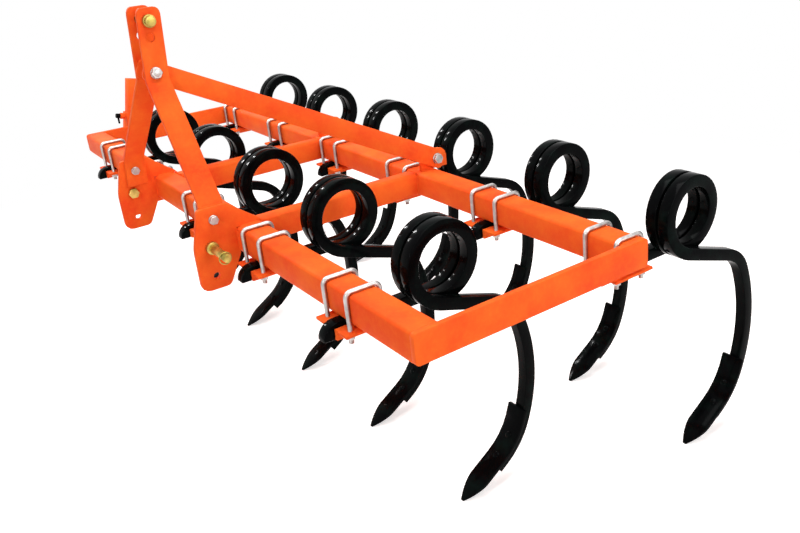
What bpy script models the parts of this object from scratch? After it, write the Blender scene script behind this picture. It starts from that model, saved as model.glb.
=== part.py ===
"""Spring tine cultivator for a three-point linkage, in metres, +Z up.

X runs across the machine, the hitch is on the -Y side and the tine points touch Z = 0.
Two cross beams carry eleven double-coil spring tines, each held under its beam by a
hat-section clamp and two U-bolts. A parking stand slides in a sleeve on the left end bar.
"""

from math import cos, pi, radians, sin

import bmesh
import bpy
from mathutils import Matrix, Vector

GAP = 0.0003

# Frame: two square cross beams between end plates, with two bars between the beams
frame_length = 2.46
frame_depth = 0.69
tube_size = 0.075
tube_wall = 0.006
tube_corner = 0.009
end_plate_thickness = 0.016
end_plate_corner = 0.010
inner_bar_width = 0.050
inner_bar_faces = 0.692

# Tines: square spring steel, two turns wound beside each other
tine_bar = 0.032
row_end_margin = 0.080
front_tines = 5
rear_tines = 6
coil_inner_radius = 0.078
coil_pitch = 0.040
coil_turns = 2
coil_behind_beam = 0.173
coil_steps = 16
nose_reach = 0.034
nose_radius = 0.024
exit_slope = 18.0
exit_run = 0.175
knee_radius = 0.105
knee_slope = 68.0
shank_radius = 0.43
shank_slope = 112.0
toe_radius = 0.20
toe_slope = 148.0
toe_run = 0.020

# Reversible shovel on the front of each tine's lower end
shovel_width = 0.066
shovel_thickness = 0.010
shovel_top_slope = 103.0
shovel_overhang = 0.125
shovel_point = 0.075
shovel_tip_share = 0.16

# Clamp: hat-section saddle under the bar and two U-bolts over the beam
u_bolt_spacing = 0.104
u_bolt_wire = 0.012
u_bolt_bend = 0.014
saddle_wall = 0.008
saddle_drop = 0.012
saddle_end = 0.016
saddle_side = 0.014
nut_across = 0.022
nut_height = 0.010
thread_out = 0.012

# Mast: a bent flat bar on each side, from the top link down to its hitch plate
bar_width = 0.084
bar_thickness = 0.014
head_forward = 0.028
foot_forward = 0.064
mast_gap = 0.072
mast_height = 0.658
mast_knee_drop = 0.203
mast_corner = 0.022
mast_foot = 0.085
top_pin_drop = 0.036
top_pin_diameter = 0.025
spare_hole_drop = 0.046
mast_bolt_drop = 0.180

# Lower hitch plates and pins
hitch_spread = 0.700
hitch_plate_thickness = 0.014
hitch_plate_forward = 0.128
hitch_plate_top = 0.150
hitch_plate_bottom = -0.085
hitch_tab_rear = 0.044
lower_pin_height = 0.039
lower_pin_forward = 0.080
lower_pin_diameter = 0.024
lower_pin_reach = 0.112
lower_hole_drop = 0.085
plate_bolt_height = 0.115
plate_bolt_diameter = 0.016

# Braces from the mast bolt back to a bracket over each inner bar
brace_width = 0.060
brace_thickness = 0.012
brace_corner = 0.018
brace_top_flat = 0.080
brace_low_flat = 0.085
bracket_thickness = 0.012
bracket_length = 0.100
bracket_overhang = 0.045
bracket_height = 0.062
brace_bolt_height = 0.034
brace_bolt_inset = 0.045
bolt_diameter = 0.020

# Parking stand, leaning back beside the left end plate
stand_lean = 12.5
stand_tube = 0.060
stand_wall = 0.005
stand_corner = 0.004
stand_length = 0.590
stand_above_frame = 0.190
stand_back = 0.2135
sleeve_wall = 0.005
sleeve_clearance = 0.0015
sleeve_above_frame = 0.046
sleeve_below_frame = 0.020
screw_above_frame = 0.030
screw_boss = 0.026
screw_boss_length = 0.022
screw_diameter = 0.014
screw_head = 0.020
screw_head_length = 0.018
screw_handle = 0.034
screw_handle_diameter = 0.008
foot_size = 0.072
foot_thickness = 0.008

SIDES = 12

PAINT = (0.93, 0.13, 0.02, 1.0)
SPRING_BLACK = (0.008, 0.009, 0.011, 1.0)
ZINC = (0.70, 0.71, 0.72, 1.0)
YELLOW_ZINC = (0.72, 0.55, 0.20, 1.0)

beam_length = frame_length - 2 * (end_plate_thickness + GAP)
row_pitch = (frame_length - 2 * row_end_margin) / (rear_tines - 1)
mast_knee_height = mast_height - mast_knee_drop
mast_bolt_height = mast_height - mast_bolt_drop
sleeve_size = stand_tube + 2 * (sleeve_clearance + sleeve_wall)


def clear_scene():
    for obj in list(bpy.data.objects):
        bpy.data.objects.remove(obj, do_unlink=True)


def new_collection(name):
    made = bpy.data.collections.new(name)
    bpy.context.scene.collection.children.link(made)
    return made


clear_scene()
PARTS = new_collection("spring_tine_cultivator")
CUTTERS = new_collection("cutters")
CUTTERS.hide_render = True


def material(name, colour, roughness, metallic):
    made = bpy.data.materials.new(name)
    made.use_nodes = True
    shader = made.node_tree.nodes["Principled BSDF"]
    shader.inputs["Base Color"].default_value = colour
    shader.inputs["Roughness"].default_value = roughness
    shader.inputs["Metallic"].default_value = metallic
    made.diffuse_color = colour
    return made


ORANGE = material("powder_coat_orange", PAINT, 0.35, 0.0)
BLACK = material("gloss_black_spring_steel", SPRING_BLACK, 0.25, 0.0)
PLATED = material("zinc_plated_steel", ZINC, 0.35, 1.0)
YELLOW = material("yellow_zinc_steel", YELLOW_ZINC, 0.35, 1.0)


def finished(name, mesh, finish, collection=PARTS, smooth=False):
    """An object for this mesh, with its finish, in the collection."""
    obj = bpy.data.objects.new(name, mesh)
    collection.objects.link(obj)
    mesh.materials.clear()
    mesh.materials.append(finish)
    if smooth:
        mesh.shade_smooth()
        mesh.set_sharp_from_angle(angle=radians(35))
    return obj


def mesh_of(bm, name):
    bmesh.ops.recalc_face_normals(bm, faces=bm.faces)
    mesh = bpy.data.meshes.new(name)
    bm.to_mesh(mesh)
    bm.free()
    return mesh


def box_mesh(name, low, high):
    bm = bmesh.new()
    low, high = Vector(low), Vector(high)
    size = Matrix.Diagonal((*(high - low), 1))
    bmesh.ops.create_cube(bm, size=1, matrix=Matrix.Translation((low + high) / 2) @ size)
    return mesh_of(bm, name)


def rod_mesh(name, start, end, diameter, sides=SIDES):
    """A round bar between two points."""
    start, end = Vector(start), Vector(end)
    along = end - start
    turn = along.to_track_quat("Z", "Y").to_matrix().to_4x4()
    bm = bmesh.new()
    bmesh.ops.create_cone(
        bm, cap_ends=True, segments=sides, radius1=diameter / 2, radius2=diameter / 2,
        depth=along.length, matrix=Matrix.Translation((start + end) / 2) @ turn,
    )
    return mesh_of(bm, name)


def plate_mesh(name, outline, thickness, place):
    """A flat plate: an outline in its own XY plane, as thick each way as half its thickness."""
    curve = bpy.data.curves.new(name, "CURVE")
    curve.dimensions = "2D"
    curve.fill_mode = "BOTH"
    curve.extrude = thickness / 2
    spline = curve.splines.new("POLY")
    spline.points.add(len(outline) - 1)
    for point, (x, y) in zip(spline.points, outline):
        point.co = (x, y, 0, 1)
    spline.use_cyclic_u = True
    return mesh_of_curve(curve, name, place)


def mesh_of_curve(curve, name, place=None):
    """The curve's evaluated shape as a closed mesh, with its place applied."""
    obj = bpy.data.objects.new(name, curve)
    obj.matrix_world = place or Matrix.Identity(4)
    bpy.context.scene.collection.objects.link(obj)
    bpy.context.view_layer.update()
    graph = bpy.context.evaluated_depsgraph_get()
    mesh = bpy.data.meshes.new_from_object(obj.evaluated_get(graph))
    bpy.data.objects.remove(obj, do_unlink=True)
    bm = bmesh.new()
    bm.from_mesh(mesh)
    bmesh.ops.remove_doubles(bm, verts=bm.verts, dist=0.00001)
    bmesh.ops.transform(bm, matrix=place or Matrix.Identity(4), verts=bm.verts)
    bpy.data.meshes.remove(mesh)
    return mesh_of(bm, name)


def rounded(corners, steps=3):
    """An outline with each corner (x, y, radius) turned into an arc."""
    outline = []
    for i, (x, y, radius) in enumerate(corners):
        here = Vector((x, y))
        before = Vector(corners[i - 1][:2]) - here
        after = Vector(corners[(i + 1) % len(corners)][:2]) - here
        if radius <= 0:
            outline.append((x, y))
            continue
        half = before.angle(after) / 2
        middle = (before.normalized() + after.normalized()).normalized()
        centre = here + middle * radius / sin(half)
        first = here + before.normalized() * radius * cos(half) / sin(half) - centre
        last = here + after.normalized() * radius * cos(half) / sin(half) - centre
        sweep = first.angle_signed(last)
        for step in range(steps + 1):
            turned = first.copy()
            turned.rotate(Matrix.Rotation(-sweep * step / steps, 2))
            outline.append(tuple(centre + turned))
    return outline


def boolean(obj, tools, operation):
    for tool in tools:
        modifier = obj.modifiers.new(operation.title(), "BOOLEAN")
        modifier.operation = operation
        modifier.solver = "EXACT"
        modifier.object = tool


def helper(name, mesh):
    """A cutter or a piece to join: kept beside the parts, out of the render."""
    obj = bpy.data.objects.new(name, mesh)
    CUTTERS.objects.link(obj)
    obj.hide_render = True
    obj.display_type = "WIRE"
    return obj


def along_y_plane(x):
    """Places a plate's own XY outline on the machine's YZ plane at this X."""
    return Matrix(((0, 0, 1, x), (1, 0, 0, 0), (0, 1, 0, 0), (0, 0, 0, 1)))


def tube(name, start, end, width, height, wall, corner, up=(0, 0, 1), origin=(0, 0, 0)):
    """An open-ended tube with rounded outer corners and its height along up.

    Start and end are measured from its origin.
    """
    start, end = Vector(start), Vector(end)
    along = (end - start).normalized()
    up = Vector(up)
    side = up.cross(along)
    x, y = width / 2, height / 2
    ring = rounded([(-x, -y, corner), (x, -y, corner), (x, y, corner), (-x, y, corner)], steps=2)
    inner = [(wall - x, wall - y), (x - wall, wall - y), (x - wall, y - wall), (wall - x, y - wall)]
    frame = Matrix((side, up, along)).transposed().to_4x4()
    place = Matrix.Translation((start + end) / 2) @ frame
    body = plate_mesh(name, ring, (end - start).length, place)
    bore = plate_mesh(name + "_bore", inner, (end - start).length + 0.02, place)
    obj = finished(name, body, ORANGE)
    cutter = helper(name + "_bore", bore)
    obj.location = cutter.location = origin
    boolean(obj, [cutter], "DIFFERENCE")
    return obj


def turned_path(start, heading, moves):
    """Follows (length, 0) and (radius, heading to reach) moves in a (back, up) plane.

    Headings are in degrees from straight back, downwards positive. Returns the points
    with the heading at each, the start included.
    """
    y, z = start
    path = [(y, z, heading)]
    for size, target, steps in moves:
        if target is None:
            y += size * cos(radians(heading))
            z -= size * sin(radians(heading))
            path.append((y, z, heading))
            continue
        step = radians(target - heading) / steps
        for _ in range(steps):
            angle = radians(heading)
            y += size * (sin(angle + step) - sin(angle))
            z += size * (cos(angle + step) - cos(angle))
            heading += step * 180 / pi
            path.append((y, z, heading))
    return path


def shank_path():
    """The bar's centre line after the coil, as (back, up, heading) from the beam's rear lower edge."""
    level = -tine_bar / 2 - GAP
    mean_radius = coil_inner_radius + tine_bar / 2
    slope = radians(exit_slope)
    start = (coil_behind_beam - mean_radius * sin(slope), level + mean_radius * (1 - cos(slope)))
    moves = [
        (exit_run, None, 1),
        (knee_radius, knee_slope, 4),
        (shank_radius, shank_slope, 7),
        (toe_radius, toe_slope, 4),
        (toe_run, None, 1),
    ]
    return turned_path(start, exit_slope, moves)


def tine_path():
    """The whole bar's centre line as (across, back, up): nose, clamped run, coil and shank."""
    level = -tine_bar / 2 - GAP
    mean_radius = coil_inner_radius + tine_bar / 2
    nose_y = -tube_size - nose_reach
    path = [(0, nose_y - nose_radius, level - nose_radius)]
    for i in range(1, 5):
        angle = pi - i * pi / 8
        path.append((0, nose_y + nose_radius * cos(angle), level - nose_radius + nose_radius * sin(angle)))
    wound = 360 * coil_turns - exit_slope
    steps = coil_turns * coil_steps
    across = coil_pitch * wound / 360
    for i in range(steps + 1):
        angle = radians(wound * i / steps - 90)
        path.append((across * i / steps, coil_behind_beam + mean_radius * cos(angle),
                     level + mean_radius * (1 + sin(angle))))
    path += [(across, y, z) for y, z, _ in shank_path()[1:]]
    return path


def shovel_path():
    """The shovel's own centre line as (back, up, share of full section), on the bar's front face."""
    inward = tine_bar / 2 + GAP + shovel_thickness / 2
    carried = [p for p in shank_path() if p[2] > shovel_top_slope]
    line = [(y - inward * sin(radians(h)), z - inward * cos(radians(h)), 1) for y, z, h in carried]
    y, z, _ = line[-1]
    slope = radians(carried[-1][2])
    for run, share in ((shovel_overhang - shovel_point, 1), (shovel_overhang, shovel_tip_share)):
        line.append((y + run * cos(slope), z - run * sin(slope), share))
    return line


def profile(name, across, deep):
    """A rectangle to sweep along a curve, across the machine and along the bar's own depth."""
    curve = bpy.data.curves.new(name, "CURVE")
    curve.dimensions = "2D"
    spline = curve.splines.new("POLY")
    spline.points.add(3)
    corners = ((-1, -1), (1, -1), (1, 1), (-1, 1))
    for point, (x, y) in zip(spline.points, corners):
        point.co = (x * deep / 2, y * across / 2, 0, 1)
    spline.use_cyclic_u = True
    return helper(name, curve)


def swept_bar(name, path, section, shares=None):
    """A bar of this section along (across, back, up) points, kept square to the across axis.

    The curve is laid out with the across axis as its own Z, which Z_UP keeps level.
    """
    curve = bpy.data.curves.new(name, "CURVE")
    curve.dimensions = "3D"
    curve.twist_mode = "Z_UP"
    curve.bevel_mode = "OBJECT"
    curve.bevel_object = section
    curve.use_fill_caps = True
    spline = curve.splines.new("POLY")
    spline.points.add(len(path) - 1)
    for i, (across, back, up) in enumerate(path):
        spline.points[i].co = (back, up, across, 1)
        spline.points[i].radius = shares[i] if shares else 1
    return mesh_of_curve(curve, name, along_y_plane(0))


def round_end(mesh, end, thickness, radius):
    """Rounds both corners of the flat bar's end that lies farthest this way."""
    bm = bmesh.new()
    bm.from_mesh(mesh)
    end = Vector(end)
    reach = max(vertex.co.dot(end) for vertex in bm.verts)
    corners = [
        edge for edge in bm.edges
        if edge.calc_length() < 1.1 * thickness
        and all(reach - vertex.co.dot(end) < 0.0001 for vertex in edge.verts)
    ]
    bmesh.ops.bevel(bm, geom=corners, offset=radius, segments=4, profile=0.5, affect="EDGES")
    bm.to_mesh(mesh)
    bm.free()


def lowest(mesh):
    return min(vertex.co.z for vertex in mesh.vertices)


tine_mesh = swept_bar("tine", tine_path(), profile("tine_section", tine_bar, tine_bar))
shovel_line = shovel_path()
shovel_across = coil_pitch * (coil_turns - exit_slope / 360)
shovel_mesh = swept_bar("shovel", [(shovel_across, y, z) for y, z, _ in shovel_line],
                        profile("shovel_section", shovel_width, shovel_thickness),
                        [share for _, _, share in shovel_line])

beam_underside = -min(lowest(tine_mesh), lowest(shovel_mesh))
beam_top = beam_underside + tube_size
rear_reach = max(vertex.co.y for vertex in tine_mesh.vertices)
front_face_y = -(frame_depth + rear_reach - hitch_plate_forward) / 2
rear_face_y = front_face_y + frame_depth


def tine_places():
    """Each tine's name, the X of its clamped end and the rear face of the beam that carries it."""
    table = []
    for row, count, rear_face in (
        ("front", front_tines, front_face_y + tube_size),
        ("rear", rear_tines, rear_face_y),
    ):
        for index in range(count):
            x = (index - (count - 1) / 2) * row_pitch
            table.append((f"{row}_{index + 1}", x, rear_face))
    return table


def clamp_mesh():
    """Saddle and two U-bolts as one solid, at the beam's rear lower edge."""
    half_spacing = u_bolt_spacing / 2
    outer = half_spacing + u_bolt_wire / 2 + saddle_side
    inner = tine_bar / 2 + GAP
    deep = -tine_bar - 2 * GAP
    outline = [
        (-outer, -saddle_drop), (-inner, -saddle_drop), (-inner, deep), (inner, deep),
        (inner, -saddle_drop), (outer, -saddle_drop), (outer, -saddle_drop - saddle_wall),
        (inner + saddle_wall, -saddle_drop - saddle_wall), (inner + saddle_wall, deep - saddle_wall),
        (-inner - saddle_wall, deep - saddle_wall), (-inner - saddle_wall, -saddle_drop - saddle_wall),
        (-outer, -saddle_drop - saddle_wall),
    ]
    length = tube_size + 2 * (GAP + u_bolt_wire + saddle_end)
    centre_y = -tube_size / 2
    place = Matrix.Translation((0, centre_y, 0)) @ Matrix(
        ((1, 0, 0, 0), (0, 0, 1, 0), (0, 1, 0, 0), (0, 0, 0, 1)))
    saddle = finished("clamp", plate_mesh("saddle", outline, length, place), ORANGE)
    leg_y = tube_size / 2 + GAP + u_bolt_wire / 2
    top = tube_size + GAP + u_bolt_wire / 2
    bottom = -saddle_drop - saddle_wall - nut_height - thread_out
    tools = []
    for side in (-1, 1):
        x = side * half_spacing
        path = [(-leg_y, bottom), (-leg_y, top - u_bolt_bend)]
        for centre, start in ((-leg_y + u_bolt_bend, pi), (leg_y - u_bolt_bend, pi / 2)):
            for i in range(1, 3):
                angle = start - i * pi / 4
                path.append((centre + u_bolt_bend * cos(angle),
                             top - u_bolt_bend + u_bolt_bend * sin(angle)))
            if start == pi:
                path.append((leg_y - u_bolt_bend, top))
        path.append((leg_y, bottom))
        tools.append(helper("u_bolt", wire_mesh("u_bolt", [(x, centre_y + y, z) for y, z in path],
                                                u_bolt_wire)))
        for end in (-1, 1):
            y = centre_y + end * leg_y
            under = -saddle_drop - saddle_wall
            nut = rod_mesh("nut", (x, y, under + 0.001), (x, y, under - nut_height), nut_across, sides=6)
            tools.append(helper("nut", nut))
    boolean(saddle, tools, "UNION")
    return applied(saddle)


def wire_mesh(name, path, diameter):
    curve = bpy.data.curves.new(name, "CURVE")
    curve.dimensions = "3D"
    curve.bevel_depth = diameter / 2
    curve.bevel_resolution = 2
    curve.use_fill_caps = True
    spline = curve.splines.new("POLY")
    spline.points.add(len(path) - 1)
    for point, place in zip(spline.points, path):
        point.co = (*place, 1)
    return mesh_of_curve(curve, name)


def applied(obj):
    """The mesh that an object's modifiers make; the object itself goes."""
    bpy.context.view_layer.update()
    graph = bpy.context.evaluated_depsgraph_get()
    mesh = bpy.data.meshes.new_from_object(obj.evaluated_get(graph))
    tools = [modifier.object for modifier in obj.modifiers]
    bpy.data.objects.remove(obj, do_unlink=True)
    for tool in tools:
        bpy.data.objects.remove(tool, do_unlink=True)
    return mesh


def build_tines():
    clamp = clamp_mesh()
    for name, x, rear_face in tine_places():
        for kind, mesh, finish in (("tine", tine_mesh, BLACK), ("shovel", shovel_mesh, BLACK),
                                   ("clamp", clamp, ORANGE)):
            obj = finished(f"{kind}_{name}", mesh.copy(), finish)
            obj.location = (x, rear_face, beam_underside)


def build_beams():
    half = beam_length / 2
    level = beam_underside + tube_size / 2
    for name, y in (("front_beam", front_face_y + tube_size / 2),
                    ("rear_beam", rear_face_y - tube_size / 2)):
        tube(name, (-half, y, level), (half, y, level), tube_size, tube_size, tube_wall, tube_corner)
    outline = rounded([
        (front_face_y, beam_underside, end_plate_corner), (rear_face_y, beam_underside, end_plate_corner),
        (rear_face_y, beam_top, end_plate_corner), (front_face_y, beam_top, end_plate_corner),
    ])
    x = (frame_length - end_plate_thickness) / 2
    for name, side in (("left_end_plate", -1), ("right_end_plate", 1)):
        finished(name, plate_mesh(name, outline, end_plate_thickness, along_y_plane(side * x)), ORANGE)
    inner_front = front_face_y + tube_size + GAP
    inner_rear = rear_face_y - tube_size - GAP
    for name, side in (("left_inner_bar", -1), ("right_inner_bar", 1)):
        x = side * (inner_bar_faces - inner_bar_width) / 2
        tube(name, (x, inner_front, level), (x, inner_rear, level),
             inner_bar_width, tube_size, tube_wall, tube_corner)


def mast_lean():
    """How far the mast leans back for each metre up."""
    return (foot_forward - head_forward) / (mast_height - hitch_plate_top + mast_foot)


def mast_y(height):
    """The Y of the mast legs' centre line at this height above the beams' underside."""
    return front_face_y - head_forward - mast_lean() * (mast_height - height)


def foot_x():
    """The X of each mast leg's foot, on the inner face of its hitch plate."""
    return hitch_spread / 2 - hitch_plate_thickness / 2 - GAP - bar_thickness / 2


def top_x():
    return mast_gap / 2 + bar_thickness / 2


def mast_holes():
    """Height above the beams' underside and diameter of each hole through the mast's top."""
    pin = mast_height - top_pin_drop
    return ((pin, top_pin_diameter), (pin - spare_hole_drop, top_pin_diameter),
            (mast_bolt_height, bolt_diameter))


def build_mast():
    foot_top = hitch_plate_top - mast_foot
    for name, side in (("left_mast_leg", -1), ("right_mast_leg", 1)):
        path = [(top_x(), mast_height), (top_x(), mast_knee_height),
                (foot_x(), hitch_plate_top + 0.010), (foot_x(), foot_top)]
        section = profile(name + "_section", bar_width, bar_thickness)
        mesh = swept_bar(name, [(0, side * x, z) for x, z in path], section)
        round_end(mesh, (0, 0, 1), bar_thickness, mast_corner)
        mesh.transform(Matrix((
            (0, 1, 0, 0),
            (-1, 0, mast_lean(), mast_y(0)),
            (0, 0, 1, beam_underside),
            (0, 0, 0, 1),
        )))
        leg = finished(name, mesh, ORANGE)
        places = [(top_x(), height, diameter) for height, diameter in mast_holes()]
        places.append((foot_x(), plate_bolt_height, plate_bolt_diameter))
        cuts = []
        for x, height, diameter in places:
            y, z = mast_y(height), beam_underside + height
            cuts.append(helper("hole", rod_mesh(
                "hole", (side * (x - 0.02), y, z), (side * (x + 0.02), y, z), diameter + 2 * GAP)))
        boolean(leg, cuts, "DIFFERENCE")
    outside = top_x() + bar_thickness / 2 + GAP
    inside = mast_gap / 2 - brace_thickness - 2 * GAP
    z = beam_underside + mast_bolt_height
    stacked_rod("mast_bolt", ORANGE, z, mast_y(mast_bolt_height), [
        (-outside - 0.014, -outside, bolt_diameter * 1.7),
        (-outside - 0.002, outside + 0.002, bolt_diameter),
        (outside, outside + 0.014, bolt_diameter * 1.7),
        (-inside, inside, bolt_diameter * 1.6),
    ])
    pin_out = top_x() + bar_thickness / 2 + GAP
    pin_height = mast_height - top_pin_drop
    stacked_rod("top_link_pin", YELLOW, beam_underside + pin_height, mast_y(pin_height), [
        (-pin_out - 0.030, pin_out + 0.002, top_pin_diameter),
        (pin_out, pin_out + 0.012, top_pin_diameter * 1.5),
        (pin_out + 0.010, pin_out + 0.024, top_pin_diameter),
    ])


def stacked_rod(name, finish, z, y, stretches):
    """One solid of round stretches along X: (from, to, diameter)."""
    first, *others = [rod_mesh(name, (a, y, z), (b, y, z), diameter) for a, b, diameter in stretches]
    obj = finished(name, first, finish)
    boolean(obj, [helper(name + "_stretch", mesh) for mesh in others], "UNION")
    return obj


def build_hitch():
    front = front_face_y - hitch_plate_forward
    rear = front_face_y - GAP
    under = beam_underside + hitch_plate_bottom
    over = beam_top + GAP
    top = beam_underside + hitch_plate_top
    leg_y = mast_y(hitch_plate_top)
    for name, side in (("left", -1), ("right", 1)):
        outline = rounded([
            (front, under, 0.024), (rear - hitch_tab_rear, under, 0.020),
            (rear, beam_underside, 0.010), (rear, over, 0),
            (rear + tube_size, over, 0), (rear + tube_size, over + 0.005, 0),
            (leg_y + bar_width / 2, top, 0.012), (leg_y - bar_width / 2, top, 0.010),
            (front, beam_underside + lower_pin_height, 0.120),
        ])
        x = side * hitch_spread / 2
        plate = finished(f"{name}_hitch_plate",
                         plate_mesh("plate", outline, hitch_plate_thickness, along_y_plane(x)), ORANGE)
        holes = (
            (mast_y(plate_bolt_height), beam_underside + plate_bolt_height, plate_bolt_diameter),
            (front_face_y - lower_pin_forward, beam_underside + lower_pin_height, lower_pin_diameter),
            (front_face_y - lower_pin_forward, beam_underside + lower_pin_height - lower_hole_drop,
             lower_pin_diameter * 0.8),
        )
        cuts = [
            helper("hole", rod_mesh("hole", (x - 0.02, y, z), (x + 0.02, y, z), diameter + 2 * GAP))
            for y, z, diameter in holes
        ]
        boolean(plate, cuts, "DIFFERENCE")
        face = hitch_spread / 2 + hitch_plate_thickness / 2 + GAP
        y, z, _ = holes[1]
        inner = face - hitch_plate_thickness - 2 * GAP
        stretches = [
            (inner - 0.014, inner, lower_pin_diameter * 1.5),
            (inner - 0.002, face + lower_pin_reach, lower_pin_diameter),
            (face, face + 0.012, lower_pin_diameter * 1.5),
        ]
        stacked_rod(f"{name}_lower_pin", YELLOW, z, y,
                    [tuple(sorted((side * a, side * b))) + (d,) for a, b, d in stretches])
        y, z, _ = holes[0]
        behind = foot_x() - bar_thickness / 2 - GAP
        stretches = [
            (behind - 0.012, behind, plate_bolt_diameter * 1.6),
            (behind - 0.002, face + 0.002, plate_bolt_diameter),
            (face, face + 0.012, plate_bolt_diameter * 1.6),
        ]
        stacked_rod(f"{name}_leg_bolt", PLATED, z, y,
                    [tuple(sorted((side * a, side * b))) + (d,) for a, b, d in stretches])


def build_braces():
    end_y = rear_face_y + bracket_overhang
    bracket_x = inner_bar_faces / 2 - bracket_thickness / 2
    foot = beam_top + GAP
    for name, side in (("left", -1), ("right", 1)):
        x = side * bracket_x
        outline = rounded([
            (end_y - bracket_length, foot, 0), (end_y, foot, 0),
            (end_y, foot + bracket_height, 0.028), (end_y - bracket_length, foot + bracket_height, 0.02),
        ])
        bracket = finished(f"{name}_brace_bracket",
                           plate_mesh("bracket", outline, bracket_thickness, along_y_plane(x)), ORANGE)
        bolt_y, bolt_z = end_y - brace_bolt_inset, foot + brace_bolt_height
        cut = rod_mesh("hole", (x - 0.02, bolt_y, bolt_z), (x + 0.02, bolt_y, bolt_z),
                       bolt_diameter + 2 * GAP)
        boolean(bracket, [helper("hole", cut)], "DIFFERENCE")
        build_brace(name, side, bracket_x, bolt_y, bolt_z)


def build_brace(name, side, bracket_x, bolt_y, bolt_z):
    """A flat bar with each end bent parallel to what it is bolted to."""
    top_place = mast_gap / 2 - GAP - brace_thickness / 2
    low_place = bracket_x + bracket_thickness / 2 + GAP + brace_thickness / 2
    top_z = beam_underside + mast_bolt_height
    top_y = mast_y(mast_bolt_height)
    start, end = Vector((top_y, top_z)), Vector((bolt_y, bolt_z))
    along = (end - start).normalized()
    length = (end - start).length
    reach = brace_width / 2
    path = [
        (-reach, top_place), (brace_top_flat, top_place),
        (length - brace_low_flat, low_place), (length + reach, low_place),
    ]
    section = profile(name + "_brace_section", brace_width, brace_thickness)
    mesh = swept_bar(name + "_brace", [(0, run, side * place) for run, place in path], section)
    for end in ((0, -1, 0), (0, 1, 0)):
        round_end(mesh, end, brace_thickness, brace_corner)
    mesh.transform(Matrix((
        (0, 0, 1, 0),
        (-along.y, along.x, 0, start.x),
        (along.x, along.y, 0, start.y),
        (0, 0, 0, 1),
    )))
    brace = finished(f"{name}_brace", mesh, ORANGE)
    holes = ((side * top_place, top_y, top_z), (side * low_place, bolt_y, bolt_z))
    cuts = [
        helper("hole", rod_mesh("hole", (x - 0.02, y, z), (x + 0.02, y, z), bolt_diameter + 2 * GAP))
        for x, y, z in holes
    ]
    boolean(brace, cuts, "DIFFERENCE")
    inner = bracket_x - bracket_thickness / 2 - GAP
    outer = low_place + brace_thickness / 2 + GAP
    stretches = [
        (inner - 0.012, inner, bolt_diameter * 1.6),
        (inner - 0.002, outer + 0.002, bolt_diameter),
        (outer, outer + 0.012, bolt_diameter * 1.6),
    ]
    stacked_rod(f"{name}_brace_bolt", PLATED, bolt_z, bolt_y,
                [tuple(sorted((side * a, side * b))) + (d,) for a, b, d in stretches])


def stand_out():
    """How far the stand's axis is from the frame's middle."""
    return frame_length / 2 + GAP + sleeve_size / 2


def centre_machine():
    """Moves everything across so that the origin is midway between the two outermost pieces."""
    left = stand_out() + max(foot_size, sleeve_size) / 2
    right = (rear_tines - 1) / 2 * row_pitch + shovel_across + shovel_width / 2
    for obj in (*PARTS.objects, *CUTTERS.objects):
        obj.location.x += (left - right) / 2


def build_stand():
    lean = radians(stand_lean)
    along = Vector((0, sin(lean), cos(lean)))
    forward = Vector((0, -cos(lean), sin(lean)))
    middle = Vector((-stand_out(), front_face_y + stand_back, beam_top))
    low = middle - along * (tube_size + sleeve_below_frame)
    high = middle + along * sleeve_above_frame
    sleeve = tube("stand_sleeve", low, high, sleeve_size, sleeve_size, sleeve_wall, stand_corner, up=-forward)
    end = middle + along * (stand_above_frame - stand_length)
    leg = tube("stand_leg", -along * stand_tube / 4, along * stand_length, stand_tube, stand_tube, stand_wall,
               stand_corner, up=-forward, origin=end)
    level = helper("stand_leg_end", box_mesh("level", (-0.1, -0.1, -0.1), (0.1, 0.1, 0)))
    level.location = end
    boolean(leg, [level], "DIFFERENCE")
    half = foot_size / 2
    foot = finished("stand_foot", box_mesh("foot", (-half, -half, -foot_thickness - GAP),
                                           (half, half, -GAP)), ORANGE)
    foot.location = end
    build_stand_screw(sleeve, middle + along * screw_above_frame, forward)


def build_stand_screw(sleeve, centre, forward):
    """The screw runs through the sleeve's front wall and ends just off the leg."""
    tip = stand_tube / 2 + GAP
    face = sleeve_size / 2 + GAP
    head = face + screw_boss_length
    hole = rod_mesh("hole", centre + forward * (tip - 0.001), centre + forward * (face + 0.005),
                    screw_diameter + 2 * GAP)
    boolean(sleeve, [helper("screw_hole", hole)], "DIFFERENCE")
    grip = centre + forward * (head + screw_head_length / 2)
    pieces = [
        rod_mesh("shank", centre + forward * tip, centre + forward * (head + 0.002), screw_diameter),
        rod_mesh("head", centre + forward * (head + 0.001), centre + forward * (head + screw_head_length),
                 screw_head),
        rod_mesh("handle", grip, grip - Vector((0, 0, screw_handle)), screw_handle_diameter),
    ]
    boss = finished("stand_screw", rod_mesh("boss", centre + forward * face, centre + forward * head,
                                            screw_boss), ORANGE)
    boolean(boss, [helper("screw_piece", mesh) for mesh in pieces], "UNION")


build_beams()
build_tines()
build_mast()
build_hitch()
build_braces()
build_stand()
centre_machine()
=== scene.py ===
"""Finishes and fine pieces of the spring tine cultivator, laid out as a Blender add-on."""

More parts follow.
